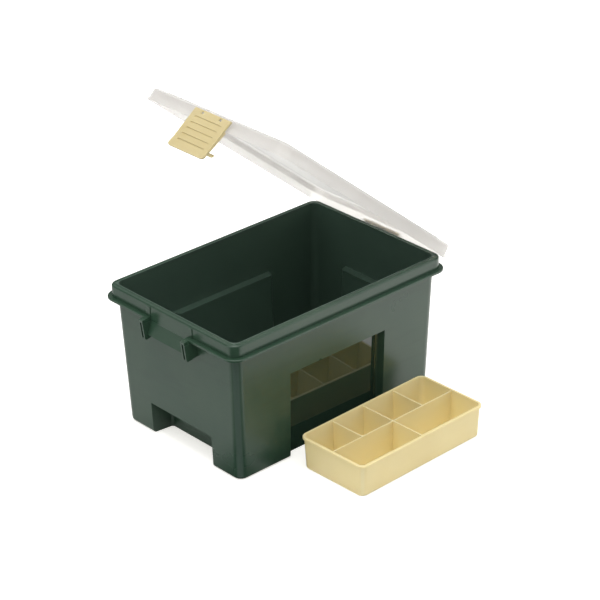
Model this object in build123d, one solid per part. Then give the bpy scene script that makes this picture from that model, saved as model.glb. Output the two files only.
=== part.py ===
from build123d import *
import os

# A tackle station box: a deep moulded tub with a clear lid hinged at one end,
# a snap latch at the other end and a lift-out compartment tray beside it.
# The long side lies along X, the latch end is at -X, and the tub stands on Z = 0.

# How far a cutting shape runs past what it cuts, and how steeply an upright edge rises
overcut = 1.0
upright_rise = 0.3

# Tub, overall
lip_length = 360.0
lip_width = 244.0
box_height = 200.0
wall = 2.4
floor_thickness = 2.6
ground_gap = 1.8
foot_rim = 2.4

# Tub walls lean outwards: inset of the wall from the lip at the ground and at the top
base_inset_end = 13.7
base_inset_side = 11.7
top_inset_end = 5.3
top_inset_side = 5.5
wall_corner = 12.0
base_round = 5.0

# Rolled lip with its hanging band and the flange below it
lip_corner = 13.0
band_thickness = 2.2
lip_skin = 2.4
lip_round = 3.0
flange_drop = 19.4
flange_thickness = 3.0
flange_reach = 5.8
flange_chamfer = 0.8
channel_rib = 1.6
channel_ribs_side = 7
channel_rib_offset = 24.4

# Recesses in the walls, open at the foot; their roofs are ledges inside
ledge_height = 124.0
recess_depth_foot = 12.0
recess_depth_top = 11.6
recess_flare = 3.6
recess_round = 4.0
side_recess_width = 162.0
hinge_recess_width = 92.0
notch_height = 45.0
notch_depth = 30.0
notch_width = 118.0

# Ears and keeper at each end, for the latch and for the hinge clip
ear_gap = 73.0
ear_thickness = 7.6
ear_reach_top = 14.0
ear_reach_foot = 10.2
ear_drop_top = 18.0
ear_drop_foot = 46.2
ear_drop_wall = 43.5
ear_toe = 1.8
ear_rib_proud = 1.0
ear_slot_width = 3.0
ear_slot_depth = 9.0
ear_slot_margin_top = 3.2
ear_slot_margin_foot = 2.4
keeper_ramp_drop = 22.4
keeper_drop = 39.8
keeper_gap = 1.2
keeper_plate = 2.4

# Lid, in its closed place
lid_skirt_drop = 8.0
lid_border_rise = 9.0
lid_panel_rise = 2.0
lid_panel_inset = 14.0
lid_panel_slope = 2.5
lid_skin = 2.2
lid_overhang = 5.3
lid_corner_step = 2.0
lid_draft = 1.0
lid_bead_reach = 0.8
lid_bead_height = 2.5
lid_round = 3.5
lid_seat_gap = 0.3
lid_seat_rib = 1.3
lid_seat_inset = 2.8

# Latch and hinge clip: a flat plate that hangs from a moulded bar
clip_ear_gap = 4.0
clip_plate = 2.4
clip_bar_radius = 1.6
clip_stand_off = 3.1
clip_tail = 13.0
clip_curl = 1.4
clip_curl_rise = 4.0
clip_side_depth = 3.2
clip_side_foot = 0.5
clip_side_width = 2.0
clip_side_gap = 1.0
clip_hook_gap = 0.5
clip_hook_thickness = 2.6
clip_hook_tip = 3.2
clip_hook_barb = 2.4
clip_hook_inset = 0.8
clip_corner = 4.0
grip_start = 10.5
grip_groove_height = 2.3
grip_groove_depth = 0.8
grip_groove_pitch = 8.8
grip_groove_margin = 8.5
latch_grooves = 5
hinge_grooves = 4
latch_bar_rise = 4.5
hinge_bar_drop = 4.0

# Snap lugs on the lid, open outwards, closed round the bars through windows in the plates
lug_spacing = 32.6
lug_width = 3.4
lug_wall = 1.5
lug_bore_clearance = 0.08
lug_mouth = 2.4
lug_lip = 1.3
lug_window_clearance = 0.5
lug_window_drop = 4.2

# Tray, standing on the ground in front of the tub
tray_length = 222.0
tray_width = 112.0
tray_height = 46.0
tray_draft = 1.8
tray_wall = 1.6
tray_floor = 1.8
tray_corner = 9.0
tray_foot_round = 3.0
tray_rim_reach = 1.8
tray_rim_height = 3.0
tray_divider = 1.4
tray_divider_drop = 1.5
tray_small_pockets = 4
tray_large_pockets = 2
tray_center_x = 23.7
tray_center_y = -188.6
tray_turn = 1.2

# Pose shown: the lid stands open and the latch hangs a little outwards
lid_open_angle = 39.5
latch_flare = 14.0

# Places that follow from the sizes above
half_length = lip_length / 2
half_width = lip_width / 2
flange_foot = box_height - flange_drop
floor_top = ground_gap + floor_thickness
lid_foot = box_height - lid_skirt_drop
lid_border_top = box_height + lid_border_rise
bar_reach = lid_overhang + clip_stand_off
bar_x = half_length + bar_reach
clip_width = ear_gap - 2 * clip_ear_gap
keeper_reach = bar_reach - clip_bar_radius / 2 - keeper_gap
lid_corner = lip_corner + lid_corner_step
latch_bar_z = box_height + latch_bar_rise
hinge_bar_z = box_height - hinge_bar_drop
keeper_foot = box_height - keeper_drop
lug_outer = clip_bar_radius + lug_wall
lug_bore = clip_bar_radius + lug_bore_clearance


def end_face(z):
    # How far the outside of an end wall stands from the middle, at height z
    share = z / box_height
    return half_length - base_inset_end + (base_inset_end - top_inset_end) * share


def side_face(z):
    # How far the outside of a long wall stands from the middle, at height z
    share = z / box_height
    return half_width - base_inset_side + (base_inset_side - top_inset_side) * share


def prism_xz(points, y_low, y_high):
    # A solid with this outline in X and Z, from y_low to y_high
    face = make_face(Plane.XZ * Polyline(*points, close=True))
    return Pos(0, y_high, 0) * extrude(face, y_high - y_low, dir=(0, -1, 0))


def prism_yz(points, x_low, x_high):
    # A solid with this outline in Y and Z, from x_low to x_high
    face = make_face(Plane.YZ * Polyline(*points, close=True))
    return Pos(x_low, 0, 0) * extrude(face, x_high - x_low, dir=(1, 0, 0))


def upright_edges(solid):
    # The edges that rise from the bottom of a solid to its top
    return solid.edges().filter_by(lambda edge: abs((edge @ 1 - edge @ 0).normalized().Z) > upright_rise)


def leaning_box(low_x, low_y, high_x, high_y, z_low, z_high, corner):
    # A block whose four sides lean evenly, with rounded upright corners
    along_x = [(-low_x, z_low), (low_x, z_low), (high_x, z_high), (-high_x, z_high)]
    along_y = [(-low_y, z_low), (low_y, z_low), (high_y, z_high), (-high_y, z_high)]
    reach = max(low_x, low_y, high_x, high_y) + overcut
    block = prism_xz(along_x, -reach, reach) & prism_yz(along_y, -reach, reach)
    return fillet(upright_edges(block), corner)


def rounded_slab(half_x, half_y, corner, z_low, z_high):
    # An upright slab with rounded corners
    outline = RectangleRounded(2 * half_x, 2 * half_y, corner)
    return Pos(0, 0, z_low) * extrude(outline, z_high - z_low)


def wall_block(inset, z_low, z_high):
    # The space that the leaning walls enclose, drawn in by inset
    return leaning_box(
        end_face(z_low) - inset,
        side_face(z_low) - inset,
        end_face(z_high) - inset,
        side_face(z_high) - inset,
        z_low,
        z_high,
        wall_corner - inset,
    )


def recess_block(face, mouth_half, depth_foot, depth_top, top, grow):
    # The space of one wall recess, on the -Y side, made larger all round by grow
    panel_foot = face(0) - depth_foot - grow
    panel_top = face(top) - depth_top - grow
    outside = face(top) + 2 * recess_round
    slope = recess_flare / depth_foot
    panel_half = mouth_half - recess_flare + grow
    mouth = panel_half + slope * (outside - panel_foot)
    roof = top + grow
    plan = Polyline((-mouth, -outside), (mouth, -outside), (panel_half, -panel_foot),
                    (-panel_half, -panel_foot), close=True)
    block = Pos(0, 0, -wall) * extrude(make_face(plan), roof + wall)
    section = [(-outside, -wall), (-panel_foot, -wall), (-panel_top, roof), (-outside, roof)]
    block = block & prism_yz(section, -mouth, mouth)
    inner = upright_edges(block).sort_by(Axis.Y)[-2:]
    return fillet(inner, recess_round + grow / 2)


def recess_blocks(grow):
    # All four recesses: both long walls, the hinge end and the low notch under the latch
    side = recess_block(side_face, side_recess_width / 2, recess_depth_foot,
                        recess_depth_top, ledge_height, grow)
    hinge_end = recess_block(end_face, hinge_recess_width / 2, recess_depth_foot,
                             recess_depth_top, ledge_height, grow)
    notch = recess_block(end_face, notch_width / 2, notch_depth, notch_depth,
                         notch_height, grow)
    return [side, Rot(0, 0, 180) * side, Rot(0, 0, 90) * hinge_end, Rot(0, 0, -90) * notch]


def lip_and_flange():
    # The rolled lip, its hanging band and the flange, as a solid ring with no channel yet
    band = rounded_slab(half_length, half_width, lip_corner, flange_foot, box_height)
    band = fillet(band.edges().group_by(Axis.Z)[-1], lip_round)
    flange = rounded_slab(half_length + flange_reach, half_width + flange_reach,
                          lip_corner + flange_reach, flange_foot,
                          flange_foot + flange_thickness)
    flange = chamfer(flange.faces().sort_by(Axis.Z)[-1].edges(), flange_chamfer)
    gap = Box(2 * (half_length + 2 * flange_reach), ear_gap, 4 * flange_thickness)
    keep = rounded_slab(half_length, half_width, lip_corner, 0, box_height)
    flange = flange - (Pos(0, 0, flange_foot) * gap - keep)
    return band + flange


def lip_channel():
    # The hollow between the wall and the hanging band, open below
    hollow = rounded_slab(half_length - band_thickness, half_width - band_thickness,
                          lip_corner - band_thickness, flange_foot - wall,
                          box_height - lip_skin)
    return hollow - wall_block(0, flange_foot - 2 * wall, box_height)


def channel_rib_set():
    # Thin upright ribs that tie the band to the wall
    ribs = []
    low = flange_foot + flange_thickness
    tall = box_height - lip_skin - low
    for side in (-1, 1):
        for number in range(channel_ribs_side):
            x = (number - (channel_ribs_side - 1) / 2) * lip_length / (channel_ribs_side + 1)
            y = side * (half_width - top_inset_side + band_thickness / 2)
            rib = Box(channel_rib, top_inset_side + wall / 2, tall)
            ribs.append(Pos(x, y - side * wall, low + tall / 2) * rib)
        for number in (-1, 1):
            y = number * (ear_gap / 2 + ear_thickness + channel_rib_offset)
            x = side * (half_length - top_inset_end + band_thickness / 2)
            rib = Box(top_inset_end + wall / 2, channel_rib, tall)
            ribs.append(Pos(x - side * wall, y, low + tall / 2) * rib)
    return ribs


def ear(side):
    # One box-section ear on the latch end; side is -1 or 1 across the box
    top = box_height - ear_drop_top
    foot = box_height - ear_drop_foot
    lean = (ear_reach_top - ear_reach_foot) / (top - foot)
    toe_reach = ear_reach_foot + lean * ear_toe
    outline = [
        (-(end_face(foot) - wall / 2), box_height - ear_drop_wall),
        (-(half_length + ear_reach_foot - ear_toe), foot),
        (-(half_length + toe_reach), foot + ear_toe),
        (-(half_length + ear_reach_top), top),
        (-(half_length + ear_rib_proud), flange_foot + flange_thickness),
        (-(half_length + ear_rib_proud), box_height - lip_round),
        (-(half_length - lip_round), box_height),
        (-(half_length - top_inset_end), box_height - lip_skin),
    ]
    near = ear_gap / 2
    low, high = sorted((side * near, side * (near + ear_thickness)))
    body = prism_xz(outline, low, high)
    slot_low = foot + ear_slot_margin_foot
    slot_high = top - ear_slot_margin_top
    reach_low = half_length + ear_reach_foot + lean * ear_slot_margin_foot
    reach_high = half_length + ear_reach_top - lean * ear_slot_margin_top
    slot = [
        (-(reach_low + overcut), slot_low),
        (-(reach_high + overcut), slot_high),
        (-(reach_high - ear_slot_depth), slot_high),
        (-(reach_low - ear_slot_depth), slot_low),
    ]
    middle = side * (near + ear_thickness / 2)
    return body - prism_xz(slot, middle - ear_slot_width / 2, middle + ear_slot_width / 2)


def keeper():
    # The ramped plate between the ears; the hook snaps over it and catches under its foot
    face = -half_length
    ramp_top = box_height - keeper_ramp_drop
    nose = face - keeper_reach
    outline = [
        (face, flange_foot + flange_thickness),
        (face, ramp_top),
        (nose, keeper_foot),
        (nose + keeper_plate, keeper_foot),
        (face + band_thickness, ramp_top - keeper_plate / 2),
        (face + band_thickness, flange_foot + flange_thickness),
    ]
    half = ear_gap / 2 + wall / 2
    return prism_xz(outline, -half, half)


def tub():
    # The whole moulded tub as one solid
    body = wall_block(0, 0, box_height)
    body = fillet(body.edges().group_by(Axis.Z)[0], base_round)
    body = body + lip_and_flange() - lip_channel()
    for rib in channel_rib_set():
        body = body + rib
    for turn in (0, 180):
        for side in (-1, 1):
            body = body + Rot(0, 0, turn) * ear(side)
        body = body + Rot(0, 0, turn) * keeper()
    for block in recess_blocks(0):
        body = body - block
    inside = wall_block(wall, floor_top, box_height + wall)
    inside = chamfer(inside.edges().group_by(Axis.Z)[0], wall / 2)
    for block in recess_blocks(wall):
        inside = inside - block
    body = body - inside
    return body - underside()


def underside():
    # The shallow hollow under the floor, which leaves a standing rim all round
    low_x = -(end_face(0) - notch_depth - foot_rim)
    high_x = end_face(0) - recess_depth_foot - foot_rim
    half_y = side_face(0) - recess_depth_foot - foot_rim
    outline = RectangleRounded(high_x - low_x, 2 * half_y, wall_corner)
    return Pos((low_x + high_x) / 2, 0, -ground_gap) * extrude(outline, 2 * ground_gap)


def clip(bar_z, grooves):
    # A hanging plate with a bar along its top, standing at +X and locked under a keeper
    inner = bar_x - clip_bar_radius / 2
    outer = inner + clip_plate
    hook_top = keeper_foot - clip_hook_gap
    hook_foot = hook_top - clip_hook_thickness
    foot = hook_top - clip_tail
    tip = half_length - clip_hook_tip
    half = clip_width / 2
    plate = prism_xz([(inner, bar_z), (inner, foot + clip_curl_rise),
                      (outer + clip_curl - clip_plate, foot), (outer + clip_curl, foot),
                      (outer, foot + clip_tail), (outer, bar_z)], -half, half)
    corners = plate.edges().filter_by(Axis.X).group_by(Axis.Z)[0]
    plate = fillet(corners, clip_corner)
    hook = prism_xz([(inner, hook_foot - clip_hook_thickness), (tip + clip_hook_barb, hook_foot),
                     (tip, hook_foot + clip_hook_barb), (tip, hook_top + clip_hook_barb),
                     (tip + clip_hook_barb / 2, hook_top + clip_hook_barb),
                     (tip + clip_hook_barb, hook_top), (inner, hook_top)],
                    -half + clip_hook_inset, half - clip_hook_inset)
    body = plate + hook
    side_top = min(bar_z - lug_window_drop - 2 * clip_bar_radius, lid_foot - clip_side_gap)
    side = [(inner, side_top), (inner - clip_side_depth, side_top),
            (inner - clip_side_foot, hook_top), (inner, hook_top)]
    body = body + prism_xz(side, -half, -half + clip_side_width)
    body = body + prism_xz(side, half - clip_side_width, half)
    for number in range(grooves):
        z = bar_z - grip_start - number * grip_groove_pitch
        groove = Box(2 * grip_groove_depth, clip_width - 2 * grip_groove_margin, grip_groove_height)
        body = body - Pos(outer, 0, z) * groove
    window = Box(4 * clip_bar_radius + clip_plate, lug_width + 2 * lug_window_clearance,
                 2 * lug_window_drop)
    for y in (-lug_spacing / 2, lug_spacing / 2):
        body = body - Pos(bar_x, y, bar_z) * window
    bar = Pos(bar_x, half, bar_z) * Rot(90, 0, 0) * Cylinder(
        clip_bar_radius, clip_width, align=(Align.CENTER, Align.CENTER, Align.MIN))
    return body + bar


def lug(bar_z, y):
    # One snap lug at +X: a ring round the bar with its mouth facing outwards
    low = y - lug_width / 2
    high = y + lug_width / 2
    root = half_length + lid_overhang - lid_skin
    arm = prism_xz([(root, bar_z - lug_outer), (bar_x, bar_z - lug_outer),
                    (bar_x, bar_z + lug_outer), (root, bar_z + lug_outer)], low, high)
    ring = Pos(bar_x, high, bar_z) * Rot(90, 0, 0) * Cylinder(
        lug_outer, lug_width, align=(Align.CENTER, Align.CENTER, Align.MIN))
    bore = Pos(bar_x, high + overcut, bar_z) * Rot(90, 0, 0) * Cylinder(
        lug_bore, lug_width + 2 * overcut, align=(Align.CENTER, Align.CENTER, Align.MIN))
    mouth = Pos(bar_x + lug_outer, y, bar_z) * Box(2 * lug_outer, lug_width + 2 * overcut, lug_mouth)
    front = Pos(bar_x + lug_lip + lug_outer, y, bar_z) * Box(
        2 * lug_outer, lug_width + 2 * overcut, 3 * lug_outer)
    return arm + ring - bore - mouth - front


def lid_closed():
    # The clear lid in its closed place: skirt, border, raised panel, seat rib and lugs
    low_x = half_length + lid_overhang
    low_y = half_width + lid_overhang
    body = leaning_box(low_x, low_y, low_x - lid_draft, low_y - lid_draft,
                       lid_foot, lid_border_top, lid_corner)
    body = fillet(body.edges().group_by(Axis.Z)[-1], lid_round)
    bead = rounded_slab(low_x + lid_bead_reach, low_y + lid_bead_reach,
                        lid_corner + lid_bead_reach, lid_foot, lid_foot + lid_bead_height)
    body = body + bead
    panel_x = low_x - lid_panel_inset
    panel_y = low_y - lid_panel_inset
    panel = leaning_box(panel_x, panel_y, panel_x - lid_panel_slope, panel_y - lid_panel_slope,
                        lid_border_top, lid_border_top + lid_panel_rise, lip_corner)
    body = body + panel
    ceiling = lid_border_top - lid_skin
    hollow = leaning_box(low_x - lid_skin, low_y - lid_skin,
                         low_x - lid_draft - lid_skin, low_y - lid_draft - lid_skin,
                         lid_foot, ceiling, lid_corner - lid_skin)
    body = body - hollow - Pos(0, 0, -lid_skin) * panel
    rib_x = half_length - lid_seat_inset
    rib_y = half_width - lid_seat_inset
    seat = rounded_slab(rib_x, rib_y, lip_corner, box_height + lid_seat_gap, ceiling + lid_skin / 2)
    seat = seat - rounded_slab(rib_x - lid_seat_rib, rib_y - lid_seat_rib,
                               lip_corner - lid_seat_rib, box_height, lid_border_top)
    body = body + seat
    for side in (-1, 1):
        y = side * lug_spacing / 2
        body = body + Rot(0, 0, 180) * lug(latch_bar_z, y) + lug(hinge_bar_z, y)
    return body


def open_lid(shape):
    # Turns a shape with the lid, about the hinge bar, to the pose shown
    hinge = Axis((bar_x, 0, hinge_bar_z), (0, 1, 0))
    return shape.rotate(hinge, lid_open_angle)


def front_latch():
    # The latch on the lid's free edge, swung a little outwards
    shape = Rot(0, 0, 180) * clip(latch_bar_z, latch_grooves)
    pivot = Axis((-bar_x, 0, latch_bar_z), (0, 1, 0))
    return open_lid(shape.rotate(pivot, latch_flare))


def tray():
    # The lift-out tray: drafted walls, a small rim, one long divider and cross dividers
    half_x = tray_length / 2 - tray_rim_reach
    half_y = tray_width / 2 - tray_rim_reach
    outer = leaning_box(half_x - tray_draft, half_y - tray_draft, half_x, half_y,
                        0, tray_height, tray_corner)
    outer = fillet(outer.edges().group_by(Axis.Z)[0], tray_foot_round)
    rim = rounded_slab(half_x + tray_rim_reach, half_y + tray_rim_reach,
                       tray_corner + tray_rim_reach, tray_height - tray_rim_height, tray_height)
    rim = fillet(rim.faces().sort_by(Axis.Z)[-1].edges(), tray_rim_reach / 2)
    share = tray_floor / tray_height
    low_x = half_x - tray_draft * (1 - share) - tray_wall
    low_y = half_y - tray_draft * (1 - share) - tray_wall
    inside = leaning_box(low_x, low_y, half_x - tray_wall, half_y - tray_wall,
                         tray_floor, tray_height, tray_corner - tray_wall)
    inside = chamfer(inside.edges().group_by(Axis.Z)[0], tray_foot_round / 2)
    tall = tray_height - tray_divider_drop - tray_floor / 2
    middle_z = tray_floor / 2 + tall / 2
    dividers = Pos(0, 0, middle_z) * Box(2 * half_x, tray_divider, tall)
    for row, pockets in ((1, tray_small_pockets), (-1, tray_large_pockets)):
        for number in range(1, pockets):
            x = -half_x + number * 2 * half_x / pockets
            cross = Box(tray_divider, half_y, tall)
            dividers = dividers + Pos(x, row * half_y / 2, middle_z) * cross
    body = outer + rim - inside + (dividers & outer)
    return Pos(tray_center_x, tray_center_y, 0) * Rot(0, 0, tray_turn) * body


os.makedirs("parts", exist_ok=True)
pieces = {
    "tub": tub(),
    "lid": open_lid(lid_closed()),
    "front_latch": front_latch(),
    "hinge_clip": clip(hinge_bar_z, hinge_grooves),
    "tray": tray(),
}
for name, piece in pieces.items():
    export_step(piece, f"parts/{name}.step")
    print(name, len(piece.solids()), round(piece.volume))
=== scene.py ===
import math
import bpy
from mathutils import Matrix, Vector


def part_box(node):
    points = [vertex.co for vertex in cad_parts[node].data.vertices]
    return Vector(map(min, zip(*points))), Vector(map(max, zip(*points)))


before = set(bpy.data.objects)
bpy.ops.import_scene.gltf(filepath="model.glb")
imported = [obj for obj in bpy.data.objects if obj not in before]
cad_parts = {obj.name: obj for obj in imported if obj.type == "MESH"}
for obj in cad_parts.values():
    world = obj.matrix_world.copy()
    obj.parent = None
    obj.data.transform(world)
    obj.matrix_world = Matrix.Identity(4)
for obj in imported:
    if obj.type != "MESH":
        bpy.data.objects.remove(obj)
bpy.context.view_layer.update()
print("frame loaded:", sorted(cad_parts))


# Shader maths: a socket with operators, so a pattern reads as an expression

class Sock:
    def __init__(self, tree, link):
        self.tree = tree
        self.link = link

    def math(self, operation, *values):
        return self.tree.add("ShaderNodeMath", {"operation": operation}, *values)

    def __add__(self, other):
        return self.math("ADD", self, other)

    def __radd__(self, other):
        return self.math("ADD", other, self)

    def __sub__(self, other):
        return self.math("SUBTRACT", self, other)

    def __rsub__(self, other):
        return self.math("SUBTRACT", other, self)

    def __mul__(self, other):
        return self.math("MULTIPLY", self, other)

    def __rmul__(self, other):
        return self.math("MULTIPLY", other, self)

    def abs(self):
        return self.math("ABSOLUTE", self)

    def most(self, other):
        return self.math("MAXIMUM", self, other)

    def swing(self, amount):
        # a noise runs about 0.5, so this runs about 0
        return (self - 0.5) * amount


class Tree:
    def __init__(self, owner):
        # the owner is a new material or a new world
        owner.use_nodes = True
        self.owner = owner
        self.nodes = owner.node_tree.nodes
        self.links = owner.node_tree.links
        self.nodes.clear()

    def add(self, kind, settings=None, *values, out=0, **named):
        # first the settings, then the inputs in their order, where None is skipped, then inputs by name
        node = self.nodes.new(kind)
        for key, value in (settings or {}).items():
            setattr(node, key, value)
        for index, value in enumerate(values):
            self.feed(node.inputs[index], value)
        for key, value in named.items():
            self.feed(node.inputs[key.replace("_", " ")], value)
        return Sock(self, node.outputs[out]) if node.outputs else None

    def feed(self, socket, value):
        if isinstance(value, Sock):
            self.links.new(value.link, socket)
        elif value is not None:
            socket.default_value = value

    def place(self):
        return self.add("ShaderNodeTexCoord", out="Object")

    def split(self, vector, axes="XYZ"):
        return [self.add("ShaderNodeSeparateXYZ", None, vector, out=axis) for axis in axes]

    def ray(self, kind):
        # 1 on rays of that kind, 0 on others; the floor and the world tell them apart
        return self.add("ShaderNodeLightPath", out=f"Is {kind} Ray")

    def noise(self, scale, detail, rough=0.5, stretch=None):
        place = self.place()
        if stretch:
            place = self.add("ShaderNodeMapping", None, Vector=place, Scale=stretch)
        return self.add("ShaderNodeTexNoise", None, Vector=place, Scale=scale, Detail=detail,
                        Roughness=rough)

    def steps(self, value, start, full):
        # 0 at the start, 1 at full, smooth between; full may be the lower one
        return self.add("ShaderNodeMapRange", {"interpolation_type": "SMOOTHSTEP"},
                        value, start, full, 0.0, 1.0)

    def mix(self, share, first, second):
        # a Mix node has five inputs of other kinds between its factor and its colours
        others = [None] * 5
        return self.add("ShaderNodeMix", {"data_type": "RGBA"}, share, *others, first, second, out=2)

    def bump(self, height, distance, strength, normal=None):
        return self.add("ShaderNodeBump", None, Height=height, Distance=distance, Strength=strength,
                        Normal=normal)

    def finish(self, shader, output="ShaderNodeOutputMaterial"):
        self.add(output, None, Surface=shader)
        return self.owner


def colour(*screen):
    # a screen colour from 0 to 255 as the linear colour that shaders use, by the sRGB rule
    linear = []
    for value in screen:
        share = value / 255
        linear.append(((share + 0.055) / 1.055) ** 2.4 if share > 0.04045 else share / 12.92)
    return (*linear, 1.0)


# Camera, at the photograph's viewing angle

view = {
    "azimuth": -42.18,
    "elevation": 27.51,
    "roll": -0.98,
    "distance": 3.0607,
    "target": (0.00444, -0.0386, 0.16785),
    "focalPixels": 2393.8,
    "imageSize": 600,
    "sensorWidth": 36,
    "farthest": 50,
}


def makeCamera():
    azimuth, elevation, roll = (math.radians(view[key]) for key in ("azimuth", "elevation", "roll"))
    level = Vector((math.sin(azimuth), -math.cos(azimuth), 0))
    back = level * math.cos(elevation) + Vector((0, 0, math.sin(elevation)))
    right = Vector((math.cos(azimuth), math.sin(azimuth), 0))
    up = back.cross(right)
    rolledRight = right * math.cos(roll) + up * math.sin(roll)
    rolledUp = up * math.cos(roll) - right * math.sin(roll)
    data = bpy.data.cameras.new("photoCamera")
    data.sensor_width = view["sensorWidth"]
    data.lens = view["focalPixels"] / view["imageSize"] * view["sensorWidth"]
    data.clip_end = view["farthest"]
    camera = bpy.data.objects.new("photoCamera", data)
    bpy.context.scene.collection.objects.link(camera)
    turn = Matrix((rolledRight, rolledUp, back)).transposed().to_4x4()
    camera.matrix_world = Matrix.Translation(Vector(view["target"]) + back * view["distance"]) @ turn
    bpy.context.scene.camera = camera


makeCamera()
print("camera made")


# Tub: dark green moulded plastic, textured outside, polished in the two long wall recesses

tubLook = {
    "base": colour(44, 70, 54),
    "dusty": colour(66, 86, 68),
    "deep": colour(30, 48, 38),
    # the lighter colour of the inner faces is painted light, not the plastic's own colour
    "inside": colour(66, 86, 75),
    "polished": colour(38, 57, 46),
    "dustyShare": 0.35,
    "deepShare": 0.18,
    "scuffShare": 0.3,
    "paintedLightInsideShare": 0.85,
    "roughness": 0.29,
    "roughnessSwing": 0.12,
    "scuffRoughness": 0.1,
    "rimRoughness": 0.22,
    "insideRoughness": 0.42,
    "polishedRoughness": 0.04,
    "panelGloss": 0.4,
    "panelGlossRoughness": 0.02,
    # noises: scale, detail and, for the scuffs, roughness
    "clouds": (9.0, 4.0),
    "flow": (14.0, 3.0),
    "flowStretch": (1.0, 1.0, 7.0),
    "scuffs": (60.0, 5.0, 0.7),
    "grain": (2600.0, 2.0),
    "specks": (900.0, 2.0),
    "waves": (7.0, 1.0),
    # the level of a noise at which it starts to show, and the one at which it shows fully
    "cloudLevels": (0.35, 0.7),
    "flowLevels": (0.5, 0.75),
    "scuffLevels": (0.62, 0.7),
    # bumps, with their depths in metres
    "grainShare": 0.7,
    "grainDepth": 0.00006,
    "grainStrength": 0.5,
    "waveDepth": 0.0016,
    "waveStrength": 0.35,
    "polishedWaveStrength": 0.08,
}

# where the tub's faces lie, in metres: a pair is where a mask starts and where it is full,
# and a lean is how far a face moves out for each metre of height
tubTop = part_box("tub")[1].z
tubPlaces = {
    "panel": {"lean": 0.0339, "face": (0.1004, 0.0998),
              "sides": (0.0785, 0.0765), "top": (0.1235, 0.122)},
    "sideRecess": {"lean": 0.0339, "face": (0.0969, 0.0973),
                   "sides": (0.083, 0.082), "top": (0.1255, 0.1245)},
    "hingeRecess": {"lean": 0.0452, "face": (0.1529, 0.1533),
                    "sides": (0.0485, 0.0475), "top": (0.1255, 0.1245)},
    "notch": {"lean": 0.0422, "face": (0.1349, 0.1353),
              "sides": (0.0615, 0.0605), "top": (0.0465, 0.0455)},
    "ends": {"lean": 0.042, "face": (0.1655, 0.1647)},
    "walls": {"lean": 0.031, "face": (0.1095, 0.1087)},
    "floor": (0.003, 0.0035),
    "scuffed": (0.03, 0.0),
    "rim": (tubTop - 0.022, tubTop - 0.021),
}


def faceMask(t, out, z, places):
    # tells the two sides of a leaning face apart
    return t.steps(out - z * places["lean"], *places["face"])


def recessMask(t, out, across, z, places):
    # the same, only between the sides of a recess and below its top
    within = t.steps(across.abs(), *places["sides"]) * t.steps(z, *places["top"])
    return faceMask(t, out, z, places) * within


def tubMaterial():
    t = Tree(bpy.data.materials.new("tubGreen"))
    look = tubLook
    x, y, z = t.split(t.place())
    clouds = t.noise(*look["clouds"])
    flow = t.noise(*look["flow"], stretch=look["flowStretch"])
    base = t.mix(t.steps(clouds, *look["cloudLevels"]) * look["dustyShare"], look["base"], look["dusty"])
    base = t.mix(t.steps(flow, *look["flowLevels"]) * look["deepShare"], base, look["deep"])
    scuffs = t.steps(t.noise(*look["scuffs"]), *look["scuffLevels"]) * t.steps(z, *tubPlaces["scuffed"])
    base = t.mix(scuffs * look["scuffShare"], base, look["dusty"])
    # the inner faces of the walls, without the recesses that come in from outside; they are painted lighter,
    # painted light that stands in for the light falling into the tub
    inside = faceMask(t, x.abs(), z, tubPlaces["ends"]) * faceMask(t, y.abs(), z, tubPlaces["walls"])
    inside = inside * t.steps(z, *tubPlaces["floor"])
    inside = inside * (1 - recessMask(t, y.abs(), x, z, tubPlaces["sideRecess"]))
    inside = inside * (1 - recessMask(t, x, y, z, tubPlaces["hingeRecess"]))
    inside = inside * (1 - recessMask(t, 0 - x, y, z, tubPlaces["notch"]))
    # painted light: the inner faces take the lighter inside colour
    base = t.mix(inside * look["paintedLightInsideShare"], base, look["inside"])
    # the polished recess panels
    polished = recessMask(t, y.abs(), x, z, tubPlaces["panel"]) * (1 - inside)
    base = t.mix(polished, base, look["polished"])
    rim = t.steps(z, *tubPlaces["rim"]) * (1 - inside)
    rough = look["roughness"] + clouds.swing(look["roughnessSwing"]) + scuffs * look["scuffRoughness"]
    rough = rough + inside * (look["insideRoughness"] - look["roughness"])
    rough = rough + rim * (look["rimRoughness"] - look["roughness"])
    rough = rough * (1 - polished) + polished * look["polishedRoughness"]
    specks = t.noise(*look["specks"]) * (1 - look["grainShare"])
    grain = t.noise(*look["grain"]) * look["grainShare"] + specks
    skin = t.bump(grain, look["grainDepth"], (1 - polished) * look["grainStrength"])
    calm = polished * (look["waveStrength"] - look["polishedWaveStrength"])
    skin = t.bump(t.noise(*look["waves"]), look["waveDepth"], look["waveStrength"] - calm, skin)
    shader = t.add("ShaderNodeBsdfPrincipled", None, Base_Color=base, Roughness=rough, Normal=skin,
                   Coat_Weight=polished * look["panelGloss"], Coat_Roughness=look["panelGlossRoughness"])
    return t.finish(shader)


# Cream parts: tray, latch and hinge clip

creamLook = {
    "tray": colour(242, 224, 169),
    "trayDeep": colour(230, 209, 150),
    # the paler colour inside the tray is painted light, not the plastic's own colour
    "trayInsidePaintedLight": colour(243, 228, 180),
    "latch": colour(209, 194, 146),
    "latchDeep": colour(187, 168, 113),
    "cloudShare": 0.3,
    "flowShare": 0.12,
    "paintedLightInsideShare": 0.85,
    "roughness": 0.38,
    "roughnessSwing": 0.14,
    # the share of light that goes under the surface, and how far in metres, for red, green and blue
    "milky": 0.3,
    "milkyDepth": 0.004,
    "milkyReach": (1.0, 0.9, 0.75),
    # noises: scale and detail
    "clouds": (16.0, 3.0),
    "flow": (22.0, 2.0),
    "flowStretch": (1.0, 1.0, 6.0),
    "grain": (2200.0, 2.0),
    "waves": (11.0, 1.0),
    "cloudLevels": (0.35, 0.75),
    "flowLevels": (0.55, 0.8),
    "grainDepth": 0.00005,
    "grainStrength": 0.5,
    "waveDepth": 0.0012,
    "waveStrength": 0.3,
}
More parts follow.
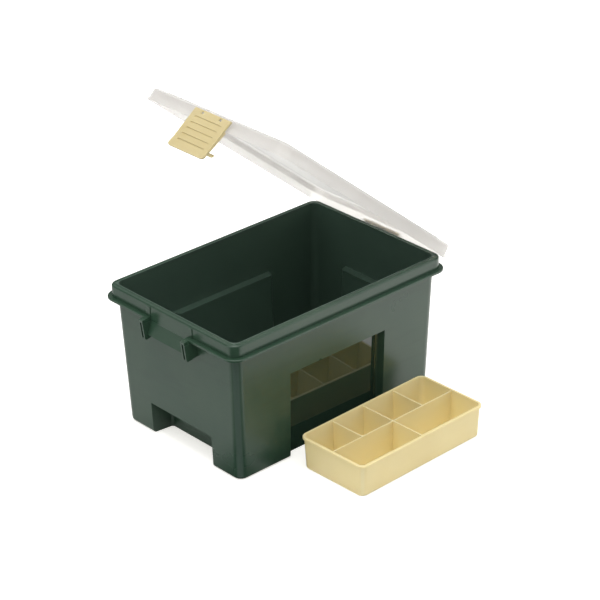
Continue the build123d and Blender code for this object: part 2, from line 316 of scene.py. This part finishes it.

# the hollow of the tray, with leans and pairs as on the tub; its inside is painted paler, painted light from
# above
trayLow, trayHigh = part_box("tray")
trayHollow = {
    "middle": ((trayLow.x + trayHigh.x) / 2, (trayLow.y + trayHigh.y) / 2, 0.0),
    "turn": math.radians(1.2),
    "ends": {"lean": 0.0391, "face": (0.1066, 0.1058)},
    "walls": {"lean": 0.0391, "face": (0.0516, 0.0508)},
    "floor": (0.0014, 0.0017),
}


def creamMaterial(name, light, deep, hollow=None):
    t = Tree(bpy.data.materials.new(name))
    look = creamLook
    clouds = t.noise(*look["clouds"])
    flow = t.noise(*look["flow"], stretch=look["flowStretch"])
    base = t.mix(t.steps(clouds, *look["cloudLevels"]) * look["cloudShare"], light, deep)
    base = t.mix(t.steps(flow, *look["flowLevels"]) * look["flowShare"], base, deep)
    if hollow:
        local = t.add("ShaderNodeMapping", {"vector_type": "TEXTURE"}, Vector=t.place(),
                      Location=hollow["middle"], Rotation=(0.0, 0.0, hollow["turn"]))
        x, y, z = t.split(local)
        inside = faceMask(t, x.abs(), z, hollow["ends"]) * faceMask(t, y.abs(), z, hollow["walls"])
        inside = inside * t.steps(z, *hollow["floor"])
        # painted light: the inside of the tray takes a paler colour
        base = t.mix(inside * look["paintedLightInsideShare"], base, look["trayInsidePaintedLight"])
    rough = look["roughness"] + clouds.swing(look["roughnessSwing"])
    skin = t.bump(t.noise(*look["grain"]), look["grainDepth"], look["grainStrength"])
    skin = t.bump(t.noise(*look["waves"]), look["waveDepth"], look["waveStrength"], skin)
    shader = t.add("ShaderNodeBsdfPrincipled", None, Base_Color=base, Roughness=rough, Normal=skin,
                   Subsurface_Weight=look["milky"], Subsurface_Scale=look["milkyDepth"],
                   Subsurface_Radius=look["milkyReach"])
    return t.finish(shader)


# Lid: frosted clear plastic

lidLook = {
    "veil": colour(238, 235, 231),
    "alpha": 0.57,
    "alphaSwing": 0.05,
    "roughness": 0.5,
    "roughnessSwing": 0.2,
    "gloss": 0.12,
    "clear": 0.56,
    # noises: scale and detail
    "clouds": (10.0, 4.0),
    "drawn": (26.0, 2.0),
    "drawnStretch": (0.12, 1.0, 0.12),
    "grain": (2400.0, 2.0),
    "grainDepth": 0.00004,
    "grainStrength": 0.5,
}


def lidMaterial():
    t = Tree(bpy.data.materials.new("lidFrost"))
    look = lidLook
    clouds = t.noise(*look["clouds"])
    drawn = t.noise(*look["drawn"], stretch=look["drawnStretch"])
    alpha = look["alpha"] + clouds.swing(look["alphaSwing"]) + drawn.swing(look["alphaSwing"])
    rough = look["roughness"] + clouds.swing(look["roughnessSwing"])
    skin = t.bump(t.noise(*look["grain"]), look["grainDepth"], look["grainStrength"])
    shader = t.add("ShaderNodeBsdfPrincipled", None, Base_Color=look["veil"], Roughness=rough, Alpha=alpha,
                   Normal=skin, Specular_IOR_Level=look["gloss"], Transmission_Weight=look["clear"])
    return t.finish(shader)


def dress(node, material):
    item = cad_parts[node]
    item.data.materials.clear()
    item.data.materials.append(material)


dress("tub", tubMaterial())
dress("lid", lidMaterial())
dress("tray", creamMaterial("trayCream", creamLook["tray"], creamLook["trayDeep"], trayHollow))
latchCream = creamMaterial("latchCream", creamLook["latch"], creamLook["latchDeep"])
dress("front_latch", latchCream)
dress("hinge_clip", latchCream)
print("materials made")


# Floor, world and lamps

stageLook = {
    "floorSize": 14.0,
    "floorDrop": 0.0002,
    "floorColour": (0.8, 0.8, 0.8, 1.0),
    # the dark colour is painted shade on the floor, seen only in reflections
    "darkColour": (0.02, 0.02, 0.02, 1.0),
    "glowColour": (1.0, 0.985, 0.93, 1.0),
    "cameraGlow": 0.62,
    "clearGlow": 0.3,
    "leftGlow": 0.1,
    "rightGlow": 0.85,
    "leftShade": 0.18,
    "roomLevel": 0.33,
    "overheadLevel": 1.55,
    # places on the floor where a shade or a glow starts and where it is full
    "cornerAcross": (-0.1, -0.16),
    "cornerAlong": (-0.02, -0.1),
    "stripAcross": (0.13, 0.1),
    "stripAlong": (-0.15, -0.14),
    "leftAcross": (-0.2, -0.3),
    "glowAcross": (-0.25, 0.4),
    # how high the room starts to brighten and is brightest, from 0 at the horizon to 1 overhead
    "overheadFrom": (0.45, 0.85),
}

lamps = {
    "overheadSoft": {"place": (-0.4, -0.5, 2.2), "aim": (0, 0, 0.1), "size": 2.0, "power": 15.0},
    "rightSoft": {"place": (1.6, -1.5, 0.9), "aim": (0, 0, 0.15), "size": 1.2, "power": 7.5},
    "leftSoft": {"place": (-1.9, 0.4, 0.9), "aim": (0, 0, 0.15), "size": 1.2, "power": 5.25},
    "spark": {"place": (-0.9, -0.3, 2.9), "aim": (0, 0, 0.1), "size": 0.12, "power": 6.0},
}


def makeFloor():
    look = stageLook
    bpy.ops.object.select_all(action="DESELECT")
    bpy.ops.mesh.primitive_plane_add(size=look["floorSize"], location=(0, 0, -look["floorDrop"]))
    floor = bpy.context.active_object
    floor.name = "studioFloor"
    t = Tree(bpy.data.materials.new("studioWhite"))
    x, y = t.split(t.place(), "XY")
    glossy = t.ray("Glossy")
    # in reflections the floor is painted dark off the front corner at the latch end, and in a strip that runs
    # from the tray back under the tub: painted shade, which the tub's walls reflect
    corner = t.steps(x, *look["cornerAcross"]) * t.steps(y, *look["cornerAlong"])
    strip = t.steps(x.abs(), *look["stripAcross"]) * t.steps(y, *look["stripAlong"])
    left = t.steps(x, *look["leftAcross"]) * look["leftShade"]
    paintedReflectionShade = glossy * corner.most(strip).most(left)
    # elsewhere in reflections it glows, most at the hinge end: a painted glow, which the tub's walls reflect
    # as sheen
    rise = look["leftGlow"] + t.steps(x, *look["glowAcross"]) * (look["rightGlow"] - look["leftGlow"])
    glow = t.ray("Camera") * look["cameraGlow"] + t.ray("Transmission") * look["clearGlow"]
    glow = glow + (glossy - paintedReflectionShade) * rise
    matte = t.add("ShaderNodeBsdfDiffuse", None, Color=t.mix(paintedReflectionShade, look["floorColour"], look["darkColour"]))
    light = t.add("ShaderNodeEmission", None, Color=look["glowColour"], Strength=glow)
    floor.data.materials.append(t.finish(t.add("ShaderNodeAddShader", None, matte, light)))


def makeWorld():
    world = bpy.data.worlds.new("studioWorld")
    bpy.context.scene.world = world
    t = Tree(world)
    # the room is brightest overhead, as under a wide soft box
    height, = t.split(t.add("ShaderNodeTexCoord", out="Generated"), "Z")
    rise = t.steps(height, *stageLook["overheadFrom"]) * (stageLook["overheadLevel"] - stageLook["roomLevel"])
    room = t.add("ShaderNodeBackground", None, Strength=stageLook["roomLevel"] + rise)
    # the camera sees plain white instead, also through clear plastic
    white = t.add("ShaderNodeBackground", None, Color=(1.0, 1.0, 1.0, 1.0))
    seen = t.ray("Camera").most(t.ray("Transmission"))
    t.finish(t.add("ShaderNodeMixShader", None, seen, room, white), "ShaderNodeOutputWorld")


def makeLamp(name, place, aim, size, power):
    data = bpy.data.lights.new(name, "AREA")
    data.size = size
    data.energy = power
    lamp = bpy.data.objects.new(name, data)
    bpy.context.scene.collection.objects.link(lamp)
    lamp.location = place
    lamp.rotation_mode = "QUATERNION"
    lamp.rotation_quaternion = (Vector(place) - Vector(aim)).to_track_quat("Z", "Y")


makeFloor()
makeWorld()
for name, lamp in lamps.items():
    makeLamp(name, **lamp)
bpy.context.scene.view_settings.view_transform = "Standard"
print("stage made")
